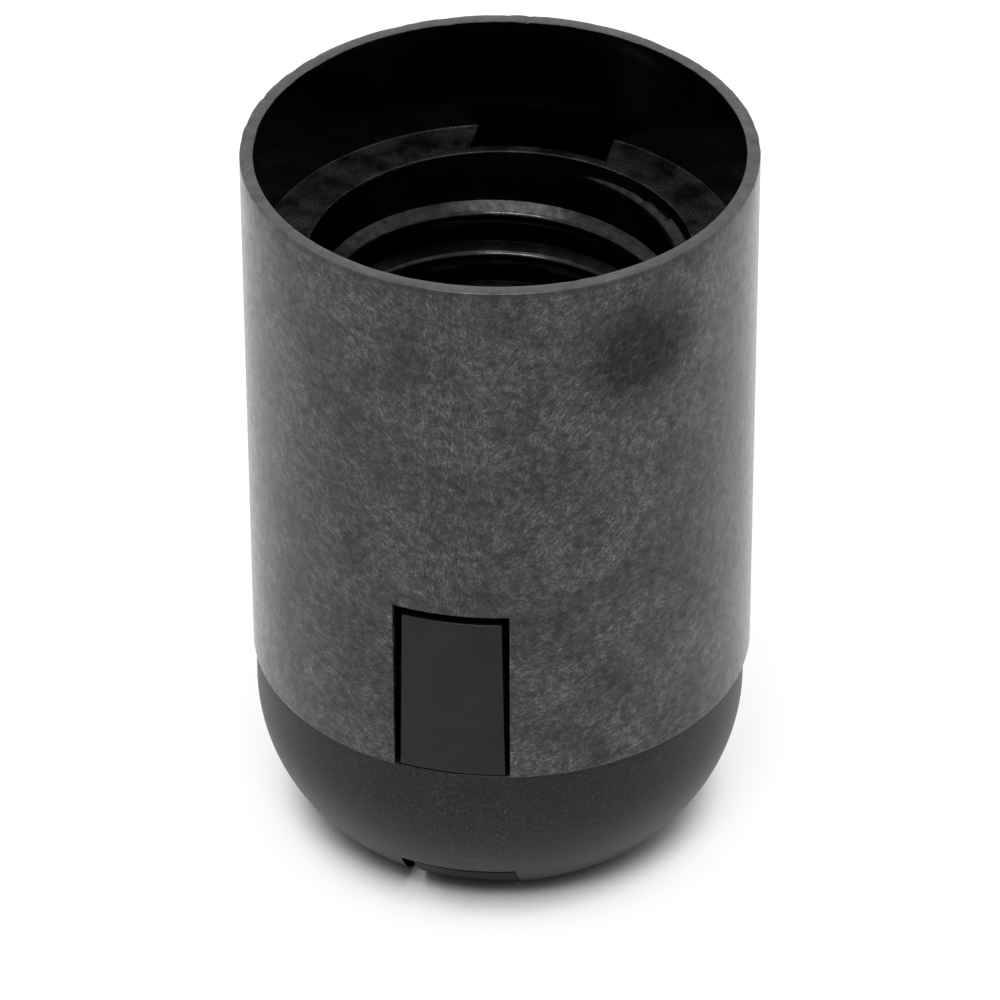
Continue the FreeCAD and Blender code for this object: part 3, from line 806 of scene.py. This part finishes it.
class LAMP_OT_sleeve(bpy.types.Operator):
    """Makes the sleeve: skirt, ledge and lamp tube in one moulding, with the lamp thread in it"""
    bl_idname = "lamp_holder.sleeve"
    bl_label = "Outer sleeve"

    def execute(self, context):
        sizes = context.scene.lamp_sleeve
        top = CAD_BOUNDS[1][2]
        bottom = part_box("outer_sleeve")[0].z
        window_top = bottom - 0.1 * MM + sizes.window_height
        ledge_top = top - sizes.ledge_depth
        ledge_bottom = ledge_top - sizes.ledge_thickness
        thread = lamp_thread(sizes, ledge_top)
        tube_outer = sizes.root_radius + sizes.tube_wall
        lip = sizes.mouth_radius + sizes.lip_wall
        relief = 0.35 * MM
        weld_overlap = 1 * MM
        ledge_edge = 0.12 * MM
        rim_inner = skirt_inner(sizes, top)
        rounding = sizes.rim_rounding

        def inner(height):
            return skirt_inner(sizes, height)

        upper = rounded([
            (thread.wall(thread.top), thread.top - weld_overlap, 0),
            (inner(bottom), bottom, 0.1 * MM),
            (inner(bottom) + sizes.wall, bottom, 0.08 * MM),
            (rim_inner + sizes.wall, top, rounding),
            (rim_inner, top, rounding * 0.6),
            (inner(ledge_top), ledge_top, ledge_edge),
            (sizes.mouth_radius, ledge_top, 0.14 * MM),
            (thread.wall(thread.top + 0.05 * MM), thread.top + 0.05 * MM, 0),
        ])[1:]
        lower = rounded([
            (sizes.root_radius, thread.bottom + weld_overlap, 0),
            (sizes.root_radius + relief, thread.bottom - relief, 0),
            (sizes.root_radius + relief, sizes.tube_bottom, 0.1 * MM),
            (tube_outer, sizes.tube_bottom, 0.1 * MM),
            (tube_outer, ledge_top - sizes.entry_depth, 0),
            (lip, ledge_bottom, 0),
            (inner(ledge_bottom), ledge_bottom, 0),
            (inner(bottom), bottom, 0),
        ])[1:-1]
        wall_levels = list(np.linspace(bottom + 0.3 * MM, window_top, 25))
        wall_levels += list(np.linspace(window_top, top, 12)[1:-1])
        ledge_radii = [lip, lip + 0.85 * MM, lip + 1.7 * MM]
        upper = with_levels(with_levels(upper, wall_levels, axis=1), ledge_radii, axis=0)
        lower = with_levels(lower, ledge_radii, axis=0)
        last = with_levels([lower[-1], upper[0]], wall_levels, axis=1)[1:-1]

        half_window = sizes.window_width / 2
        half_slot = sizes.slot_width / 2
        lines = np.concatenate([np.linspace(0, half_window, 12), [
            half_window + 0.4 * MM, half_slot, half_slot + 0.5 * MM, half_slot + 1.1 * MM]])
        shell = Shell([upper, thread, lower + last], lines, reach=12 * MM, flank_count=84)

        def removed(x, y, z, r):
            in_window = (abs(x) < half_window) & (z < window_top) & (r > tube_outer + weld_overlap)
            in_ledge = (z > ledge_bottom - 0.1 * MM) & (z < ledge_top + ledge_edge)
            return in_window | (in_ledge & (abs(x) < half_slot) & (r > lip) & (r < inner(ledge_top)))

        shell.build(removed)
        corner = ledge_top + ledge_edge
        for back in (False, True):
            columns = shell.between(half_window, back)
            outside = shell.row(inner(window_top) + sizes.wall, window_top)
            inside = shell.row(inner(window_top), window_top)
            shell.strip(list(shell.verts[outside, columns]), list(shell.verts[inside, columns]))
            shell.carve(half_slot, back, [(lip, ledge_top), (lip, ledge_bottom)])
            shell.carve(half_slot, back, [(inner(corner), corner), (inner(ledge_bottom), ledge_bottom)])
        shell.close()
        soften(shell.mesh, 0.07 * MM)
        catch = self.catch(sizes, window_top, half_window)
        mesh = joined(shell.mesh, catch, opposite(catch))
        self.wear(mesh, top - 1.5 * rounding, rim_inner)
        for face in mesh.faces:
            middle = face.calc_center_median()
            radius = math.hypot(middle.x, middle.y)
            on_ledge = abs(middle.z - ledge_top) < 0.05 * MM and radius > sizes.mouth_radius
            face.material_index = 0 if radius > inner(middle.z) + 0.1 * MM else 2 if on_ledge else 1
        colours = context.scene.lamp_colours
        plastics = [fibre_filled_plastic(colours), polished_plastic(colours), grained_plastic(colours)]
        seat("sleeve_moulding", mesh, "holder", plastics, "outer_sleeve")
        return {"FINISHED"}

    def catch(self, sizes, window_top, half_window):
        """The front catch, a wedge inside the skirt that the hook of a leg snaps over."""
        low = window_top + sizes.catch_rise
        high = low + sizes.catch_height
        sunk = 0.3 * MM
        face = skirt_inner(sizes, high) - sizes.catch_depth
        half_width = half_window - 0.175 * MM
        outline = rounded([
            (skirt_inner(sizes, high) + sunk, high, 0), (face, high, 0.1 * MM),
            (face, low + 2 * sizes.catch_depth, 0.3 * MM),
            (skirt_inner(sizes, low) + sunk, low - 0.4 * MM, 0),
        ], closed=True)
        return polar_band(outline, lambda z: (-half_width, half_width), 15)

    def wear(self, mesh, above, radius):
        """Small random dents in the rim, everywhere above a height."""
        deepest = 0.09 * MM
        for vert in mesh.verts:
            if vert.co.z > above:
                worn = noise.noise(vert.co / (1.1 * MM)) + 0.5 * noise.noise(vert.co / (0.45 * MM))
                inward = deepest * max(worn, 0.0)
                vert.co.z -= inward
                vert.co.xy *= 1 - 0.4 * inward / radius


class LAMP_OT_cap(bpy.types.Operator):
    """Makes the domed cap with its base notches, spigot and threaded pipe inlet"""
    bl_idname = "lamp_holder.cap"
    bl_label = "Domed cap"

    def execute(self, context):
        sizes = context.scene.lamp_cap
        carrier = context.scene.lamp_carrier
        seam = sizes.seam_height
        radius = dome_radius()
        spigot = sizes.spigot_radius
        spigot_inner = spigot - sizes.spigot_wall
        spigot_top = seam + sizes.spigot_height
        shoulder = seam - sizes.wall
        major = sizes.inlet_radius + 0.54 * MM
        lead = 0.5 * MM
        boss, boss_top = sizes.inlet_boss_radius, sizes.inlet_boss_top
        thread_top = boss_top - 0.1 * MM
        foot_inner = carrier.foot_radius - carrier.foot_depth - carrier.foot_clearance
        half_notch = context.scene.lamp_sleeve.window_width / 2
        half_gap = half_notch + 0.35 * MM
        gap_radius = spigot + 0.24 * MM

        skin = dome_section(sizes, 0, 0, sizes.base_rounding, 28, 12)[::-1]
        inside = dome_section(sizes, sizes.wall, sizes.floor, INNER_ROUNDING, 14, 6)
        skin, inside = (with_levels(part, [sizes.notch_height], axis=1) for part in (skin, inside))
        seam_edge = rounded([
            (radius, seam - 1 * MM, 0), (radius, seam, 0.1 * MM), (gap_radius, seam, 0), (spigot, seam, 0),
            (spigot, spigot_top, 0.15 * MM), (spigot_inner, spigot_top, 0.15 * MM),
            (spigot_inner, seam, 0), (radius - sizes.wall, shoulder, 0)])[1:]
        boss_edge = rounded([
            (foot_inner + 0.5 * MM, sizes.floor, 0), (foot_inner, sizes.floor, 0), (boss, sizes.floor, 0),
            (boss, boss_top, 0.3 * MM), (major, boss_top, 0), (major, thread_top, 0)])
        thread = screw_thread(sizes.inlet_pitch, major, major - sizes.inlet_radius, thread_top, lead, True)
        bore = rounded([(major, lead - 0.01 * MM, 0), (major + 0.3 * MM, 0, 0), (foot_inner, 0, 0)])
        lines = np.concatenate([np.linspace(0, half_notch, 10), [half_gap, half_gap + 0.6 * MM]])
        outline = bore + skin + seam_edge + inside + boss_edge
        shell = Shell([outline, thread], lines, reach=9 * MM, flank_count=80)

        def removed(x, y, z, r):
            in_notch = (abs(x) < half_notch) & (r > foot_inner) & (z < sizes.notch_height)
            return in_notch | ((abs(x) < half_gap) & (r < gap_radius) & (r > 12 * MM) & (z > shoulder))

        shell.build(removed)
        ceiling = [(p.x, p.y) for p in skin + inside if abs(p.y - sizes.notch_height) < 1e-6]
        for back in (False, True):
            shell.carve(half_notch, back, ceiling)
            shell.carve(half_notch, back, [(foot_inner, 0), (foot_inner, sizes.floor)])
            shell.carve(half_gap, back, [(gap_radius, seam), (gap_radius, shoulder),
                                         (radius - sizes.wall, shoulder)])
        shell.close()
        soften(shell.mesh, 0.06 * MM)
        mesh = placed(shell.mesh, (sizes.play, 0, 0))
        plastic = spark_eroded_plastic(context.scene.lamp_colours)
        seat("cap_moulding", mesh, "holder", [plastic], "dome_cap")
        return {"FINISHED"}


class LAMP_OT_carrier(bpy.types.Operator):
    """Makes the contact carrier: plate, terminal block and the two spring legs"""
    bl_idname = "lamp_holder.carrier"
    bl_label = "Contact carrier"

    def leg(self, context):
        """One spring leg with its hook, its pad in the window and its foot in the notch."""
        sizes = context.scene.lamp_carrier
        cap = context.scene.lamp_cap
        sleeve = context.scene.lamp_sleeve
        low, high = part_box("contact_carrier")
        leg_face, leg_back = sizes.leg_face, sizes.leg_face - sizes.leg_thickness
        clearance = 0.35 * MM
        low_face = dome_radius() - cap.wall - clearance
        low_back = low_face - sizes.leg_thickness
        seam = cap.seam_height
        pad_top = seam + sleeve.window_height - sizes.pad_top_gap
        pad_bottom = seam + 0.12 * MM
        pad_face = skirt_inner(sleeve, pad_top) + sleeve.wall - sizes.pad_recess
        hook_face = leg_face + 0.15 * MM + sizes.hook_reach
        hook_bottom = high.z - 1.85 * MM
        foot_back = sizes.foot_radius - sizes.foot_depth
        foot_high = cap.notch_height - sizes.foot_clearance
        foot_right = sleeve.window_width / 2 - sizes.foot_side_gap
        shank = dome_section(cap, cap.wall + clearance, cap.floor, INNER_ROUNDING, 14, 4)
        shank = [p for p in with_levels(shank, [foot_high], axis=1) if p.y > foot_high - 1e-7]
        foot = dome_section(cap, sizes.foot_recess, low.z, cap.base_rounding - sizes.foot_recess, 28, 8)
        foot = [p for p in with_levels(foot, [foot_high], axis=1) if p.y < foot_high + 1e-7]
        back_centre = Vector((dome_radius() - cap.arc_radius, seam - cap.straight))
        back_radius = low_back - back_centre.x
        back_turn = math.acos((foot_back - back_centre.x) / back_radius)
        outline = rounded([
            (low_back, seam, 0.5 * MM),
            (leg_back, low.z + 19.85 * MM, 0.5 * MM),
            (leg_back, high.z, 0.15 * MM),
            (leg_face, high.z, 0.15 * MM),
            (hook_face, (high.z + hook_bottom) / 2, 0.2 * MM),
            (hook_face, hook_bottom, 0.08 * MM),
            (leg_face, hook_bottom, 0.1 * MM),
            (leg_face, pad_top, 0.1 * MM),
            (pad_face, pad_top, 0.12 * MM),
            (pad_face, pad_bottom, 0.1 * MM),
            (low_face, pad_bottom, 0.1 * MM),
            *((p.x, p.y, 0) for p in shank + foot),
            (foot_back, low.z, 0.1 * MM),
            *((p.x, p.y, 0) for p in arc(back_centre, back_radius, back_turn, 0, 10)),
        ], closed=True)
        outline = with_levels(outline, np.linspace(pad_bottom, pad_top, 20)[1:-1], axis=1, closed=True)
        heights = [foot_high, pad_bottom, pad_top]
        half_low, half_high = sizes.pad_width_bottom / 2, sizes.pad_width_top / 2

        def sides(z):
            return (np.interp(z, heights, [foot_right - sizes.foot_width, -half_low, -half_high]),
                    np.interp(z, heights, [foot_right, half_low, half_high]))

        mesh = polar_band(outline, sides, 25)
        bmesh.ops.recalc_face_normals(mesh, faces=mesh.faces)
        soften(mesh, 0.08 * MM, 65)
        return mesh

    def execute(self, context):
        sizes = context.scene.lamp_carrier
        bottom, radius, step = sizes.plate_bottom, sizes.plate_radius, sizes.step_radius
        plate_top = bottom + sizes.plate_thickness
        step_top = plate_top + sizes.step_height
        strip_low, strip_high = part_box("live_terminal_strip")
        block_x = strip_high.x - 0.85 * MM
        block_bottom = strip_low.z - 0.2 * MM
        half_y, wall = 6.2 * MM, 1.5 * MM
        play = 0.1 * MM
        screw_low, screw_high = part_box("live_terminal_screw")
        rivet_low, rivet_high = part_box("live_strip_rivet")
        plate = lathe([rounded([
            (0, bottom, 0), (radius, bottom, 0.15 * MM), (radius, plate_top, 0.15 * MM),
            (step, plate_top, 0.1 * MM), (step, step_top, 0.15 * MM), (0, step_top, 0)])], 144)
        body = block((-block_x, -half_y, block_bottom), (block_x, half_y, plate_top - 0.4 * MM))
        soften(body, 0.25 * MM)
        whole = combined(plate, body, "UNION")
        leg = self.leg(context)
        for part in (opposite(leg), leg):
            whole = combined(whole, part, "UNION")
        chamber = block((wall / 2, -half_y + wall, block_bottom - wall),
                        (block_x - wall, half_y - wall, bottom - wall))
        slot = block((block_x, strip_low.y - play, bottom - wall),
                     (strip_high.x + play, strip_high.y + play, step_top + wall))
        rivet_x = (rivet_low.x + rivet_high.x) / 2
        screw_z = (screw_low.z + screw_high.z) / 2
        rivet_hole = placed(cylinder(0.95 * MM, block_bottom, step_top + wall), (rivet_x, 0, 0))
        screw_hole = placed(cylinder(1.75 * MM, 0, block_x), (wall, 0, screw_z), math.pi / 2)
        for cutter in (chamber, slot, rivet_hole, screw_hole):
            whole = combined(whole, opposite(cutter), "DIFFERENCE")
            whole = combined(whole, cutter, "DIFFERENCE")
        plastic = smooth_plastic(context.scene.lamp_colours)
        seat("carrier_moulding", whole, "holder", [plastic], "contact_carrier")
        return {"FINISHED"}


class LAMP_OT_contacts(bpy.types.Operator):
    """Makes the brass terminal strips, their rivets and the two spring contact arms"""
    bl_idname = "lamp_holder.contacts"
    bl_label = "Contacts"

    def execute(self, context):
        sizes = context.scene.lamp_terminals
        colours = context.scene.lamp_colours
        brass = rolled_metal("brass_rolled", colours.brass, 0.28, 1.2 * MM)
        bronze = rolled_metal("phosphor_bronze_rolled", colours.bronze, 0.24, 1.5 * MM)
        low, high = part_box("live_terminal_strip")
        thickness = 0.8 * MM
        strip = bent_sheet([(high.x - thickness, low.z), (high.x - thickness, high.z - thickness),
                            (low.x, high.z - thickness)], thickness, high.y, 0.55 * MM, sizes.strip_rounding)
        seat("neutral_strip", opposite(strip), "holder", [brass], "neutral_terminal_strip")
        seat("live_strip", strip, "holder", [brass], "live_terminal_strip")
        rivet = self.rivet(high.z)
        seat("neutral_rivet", opposite(rivet), "holder", [brass], "neutral_strip_rivet")
        seat("live_rivet", rivet, "holder", [brass], "live_strip_rivet")

        strip_top = high.z
        low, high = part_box("centre_contact_arm")
        arm = bent_sheet([
            (low.x, high.z - 0.7 * MM), (-0.9 * MM, high.z), (0.9 * MM, high.z),
            (high.x - 1.2 * MM, strip_top + 0.3 * MM), (high.x + 0.12 * MM, strip_top - 0.02 * MM),
        ], 0.4 * MM, high.y, 0.8 * MM, 0.06 * MM)
        seat("centre_spring_arm", arm, "centre_contact", [bronze], "centre_contact_arm")
        low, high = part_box("shell_contact_arm")
        base, wall = low.z + 0.35 * MM, -low.x
        arm = opposite(bent_sheet([
            (-high.x - 0.12 * MM, base), (wall - 0.8 * MM, base), (wall, base + 1.2 * MM),
            (wall - 1.0 * MM, base + 7.6 * MM), (wall - 0.4 * MM, base + 9.2 * MM),
        ], -0.35 * MM, high.y, 0.7 * MM, 0.05 * MM))
        seat("shell_spring_arm", arm, "shell_contact", [bronze], "shell_contact_arm")
        return {"FINISHED"}

    def rivet(self, seat_height):
        """The live tubular rivet, with its head on the strip and its flared tail under the plate."""
        low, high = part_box("live_strip_rivet")
        head_radius = (high.x - low.x) / 2
        shank = 0.9 * MM
        tail_top = low.z + 0.5 * MM
        crown = high.z - 0.02 * MM
        mesh = lathe([rounded([
            (0, crown, 0), (head_radius * 0.6, crown, 0.6 * MM),
            (head_radius, high.z - (high.z - seat_height) * 0.55, 0.12 * MM),
            (head_radius, seat_height, 0.04 * MM), (shank, seat_height, 0), (shank, tail_top, 0),
            (shank + 0.46 * MM, tail_top - 0.02 * MM, 0.1 * MM),
            (shank + 0.42 * MM, low.z + 0.12 * MM, 0.14 * MM),
            (shank, low.z, 0.2 * MM), (shank / 2, low.z + 0.3 * MM, 0.15 * MM),
            (shank / 2, low.z + 3.2 * MM, 0), (0, low.z + 3.6 * MM, 0)])], 48)
        return placed(mesh, ((low.x + high.x) / 2, 0, 0))


class LAMP_OT_terminals(bpy.types.Operator):
    """Makes the terminal screws, their clamp plates and the screw that locks the pipe"""
    bl_idname = "lamp_holder.terminals"
    bl_label = "Screws"

    def screw(self, sizes, length, head_radius, head_height, tip):
        """A slotted screw along +Z that starts at its tip; without a head it is a set screw."""
        major = sizes.screw_radius
        minor = major - sizes.thread_depth
        top = length - 0.45 * MM
        outer = length + head_height
        thread = screw_thread(sizes.screw_pitch, minor, sizes.thread_depth, top, tip, False, 0.3 * MM)
        start = rounded([(0, 0, 0), (minor - 0.25 * MM, 0, 0), (minor, tip - 0.01 * MM, 0)])
        if head_height:
            end = [(minor, top, 0), (major, length, 0), (head_radius, length, 0.1 * MM),
                   (head_radius, outer, 0.35 * MM), (0, outer, 0)]
        else:
            end = [(minor, top, 0), (minor - 0.2 * MM, length, 0), (0, length, 0)]
        mesh = lathe([rounded(end)[::-1], thread, start[::-1]], 48)
        reach = max(head_radius, major) + 1 * MM
        slot = block((-reach, -sizes.slot_width / 2, outer - sizes.slot_depth),
                     (reach, sizes.slot_width / 2, outer + 1 * MM))
        return combined(mesh, slot, "DIFFERENCE")

    def execute(self, context):
        sizes = context.scene.lamp_terminals
        zinc = zinc_plated_steel(context.scene.lamp_colours.zinc)
        low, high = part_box("live_terminal_screw")
        head_height = 1.8 * MM
        shank = high.x - low.x - head_height
        screw = self.screw(sizes, shank, high.y, head_height, 0.3 * MM)
        screw = placed(screw, (low.x, 0, (low.z + high.z) / 2), math.pi / 2)
        seat("neutral_screw_slotted", opposite(screw), "neutral_screw", [zinc],
             "neutral_terminal_screw")
        seat("live_screw_slotted", screw, "live_screw", [zinc], "live_terminal_screw")
        for side in ("live", "neutral"):
            plate = cad_copy(side + "_clamp_plate")
            soften(plate, 0.12 * MM, 60)
            seat(side + "_clamp_square", plate, side + "_clamp", [zinc], side + "_clamp_plate")
        tilt = math.radians(45)
        reach = context.scene.lamp_cap.inlet_radius + 0.1 * MM + sizes.screw_radius * math.sin(tilt)
        lock = placed(self.screw(sizes, 4.0 * MM, 0.0, 0.0, 0.4 * MM), (reach, 0, 4.4 * MM), tilt)
        seat("lock_screw_slotted", lock, "lock_screw", [zinc], "pipe_lock_screw")
        return {"FINISHED"}


def background_rays(tree):
    """1 for the rays that show the background: seen, mirrored or through glass."""
    rays = add_node(tree, "ShaderNodeLightPath").outputs
    seen = math_node(tree, "MAXIMUM", rays["Is Camera Ray"], rays["Is Glossy Ray"])
    return math_node(tree, "MAXIMUM", seen, rays["Is Transmission Ray"])


class LAMP_OT_stage(bpy.types.Operator):
    """Makes the floor, the light and the camera"""
    bl_idname = "lamp_holder.stage"
    bl_label = "Stage"

    def execute(self, context):
        stage = context.scene.lamp_stage
        self.floor(stage)
        self.sky(context, stage)
        self.lamp("softbox_front", 53, 6, 0.46, 0.18, stage.front_radiance)
        self.lamp("softbox_top", 86, 4, 0.45, 0.4, stage.top_radiance)
        self.camera(context, stage)
        return {"FINISHED"}

    def floor(self, stage):
        """White paper floor, wide enough to fill the view. It keeps the object's shadow, and its colour is
        darkened near the object as a painted contact shadow.
        """
        mesh = bmesh.new()
        bmesh.ops.create_grid(mesh, x_segments=1, y_segments=1, size=3.0)
        floor = object_of("paper_floor", mesh)
        material, tree = new_material("white_paper")
        glow = add_node(tree, "ShaderNodeEmission", {"Color": linear("#ffffff"), "Strength": 1.0})
        open_sky = add_node(tree, "ShaderNodeAmbientOcclusion", {"Distance": 4.5 * MM}, samples=8)
        open_sky = open_sky.outputs["AO"]
        # Painted contact shadow: the paper's own colour goes from #f6f6f6 down to #3c3c3c where the AO
        # closes in near the object.
        near = mapped(tree, open_sky, 0.03, 0.55)
        paper = add_node(tree, "ShaderNodeBsdfDiffuse", {
            "Color": blended(tree, near, linear("#3c3c3c"), linear("#f6f6f6"))})
        lit = mapped(tree, open_sky, 0.3, 0.85, smooth=True)
        share = product(tree, background_rays(tree), product(tree, lit, stage.paper_glow))
        white = add_node(tree, "ShaderNodeMixShader", {0: share, 1: paper.outputs[0], 2: glow.outputs[0]})
        add_node(tree, "ShaderNodeOutputMaterial", {"Surface": white.outputs[0]})
        floor.data.materials.append(material)

    def sky(self, context, stage):
        """Even white light from all round, as in a light tent that is dimmer at the front."""
        world = bpy.data.worlds.new("light_tent")
        context.scene.world = world
        world.use_nodes = True
        tree = world.node_tree
        tree.nodes.clear()
        white = linear("#ffffff")
        direction = add_node(tree, "ShaderNodeTexCoord").outputs["Generated"]
        y = add_node(tree, "ShaderNodeSeparateXYZ", {0: direction}).outputs["Y"]
        beside = mapped(tree, y, -0.9, -0.3, smooth=True)
        strength = blended(tree, beside, stage.tent_front, stage.tent_strength)
        tent = add_node(tree, "ShaderNodeBackground", {"Color": white, "Strength": strength})
        seen = add_node(tree, "ShaderNodeBackground", {"Color": white, "Strength": 1.0})
        shown = add_node(tree, "ShaderNodeMixShader", {
            0: background_rays(tree), 1: tent.outputs[0], 2: seen.outputs[0]})
        add_node(tree, "ShaderNodeOutputWorld", {"Surface": shown.outputs[0]})

    def aim(self, item, target, azimuth, elevation, distance, roll=0.0):
        """Points an object at a target from a side, with angles from the front towards +X and up."""
        toward = Vector((math.sin(azimuth) * math.cos(elevation), -math.cos(azimuth) * math.cos(elevation),
                         math.sin(elevation)))
        turn = toward.to_track_quat("Z", "Y").to_matrix() @ Matrix.Rotation(roll, 3, "Z")
        item.matrix_world = Matrix.Translation(target + toward * distance) @ turn.to_4x4()

    def lamp(self, name, elevation, azimuth, width, height, radiance):
        """A softbox that faces the object from 0.9 m away."""
        data = bpy.data.lights.new(name, "AREA")
        data.shape = "RECTANGLE"
        data.size = width
        data.size_y = height
        data.energy = radiance * math.pi * width * height
        azimuth, elevation = math.radians(azimuth), math.radians(elevation)
        self.aim(new_object(name, data), Vector((0, 0, 0.04)), azimuth, elevation, 0.9)

    def camera(self, context, stage):
        data = bpy.data.cameras.new("camera")
        data.lens = stage.lens
        data.sensor_width = 36.0
        data.clip_end = 5.0
        camera = new_object("camera", data)
        right = Vector((math.cos(stage.azimuth), math.sin(stage.azimuth), 0))
        target = Vector((0, 0, stage.target_height)) + right * stage.target_side
        self.aim(camera, target, stage.azimuth, stage.elevation, stage.distance, stage.roll)
        context.scene.camera = camera


class LAMP_PT_panel(bpy.types.Panel):
    bl_label = "Lamp holder"
    bl_idname = "LAMP_PT_panel"
    bl_space_type = "VIEW_3D"
    bl_region_type = "UI"
    bl_category = "Lamp holder"

    def draw(self, context):
        for operator in OPERATORS:
            self.layout.operator(operator.bl_idname)


SETTINGS = {
    "lamp_sleeve": SleeveSizes,
    "lamp_cap": CapSizes,
    "lamp_carrier": CarrierSizes,
    "lamp_terminals": TerminalSizes,
    "lamp_colours": FinishColours,
    "lamp_stage": StageSettings,
}
OPERATORS = [LAMP_OT_sleeve, LAMP_OT_cap, LAMP_OT_carrier, LAMP_OT_contacts, LAMP_OT_terminals,
             LAMP_OT_stage]


def register():
    for settings in SETTINGS.values():
        bpy.utils.register_class(settings)
    for operator in OPERATORS + [LAMP_PT_panel]:
        bpy.utils.register_class(operator)
    for name, settings in SETTINGS.items():
        setattr(bpy.types.Scene, name, bpy.props.PointerProperty(type=settings))


def unregister():
    for name in SETTINGS:
        delattr(bpy.types.Scene, name)
    for operator in OPERATORS + [LAMP_PT_panel]:
        bpy.utils.unregister_class(operator)
    for settings in SETTINGS.values():
        bpy.utils.unregister_class(settings)


def main():
    register()
    bpy.context.scene.view_settings.view_transform = "Standard"
    bpy.ops.lamp_holder.sleeve()
    bpy.ops.lamp_holder.cap()
    bpy.ops.lamp_holder.carrier()
    bpy.ops.lamp_holder.contacts()
    bpy.ops.lamp_holder.terminals()
    bpy.ops.lamp_holder.stage()


if __name__ == "__main__":
    main()
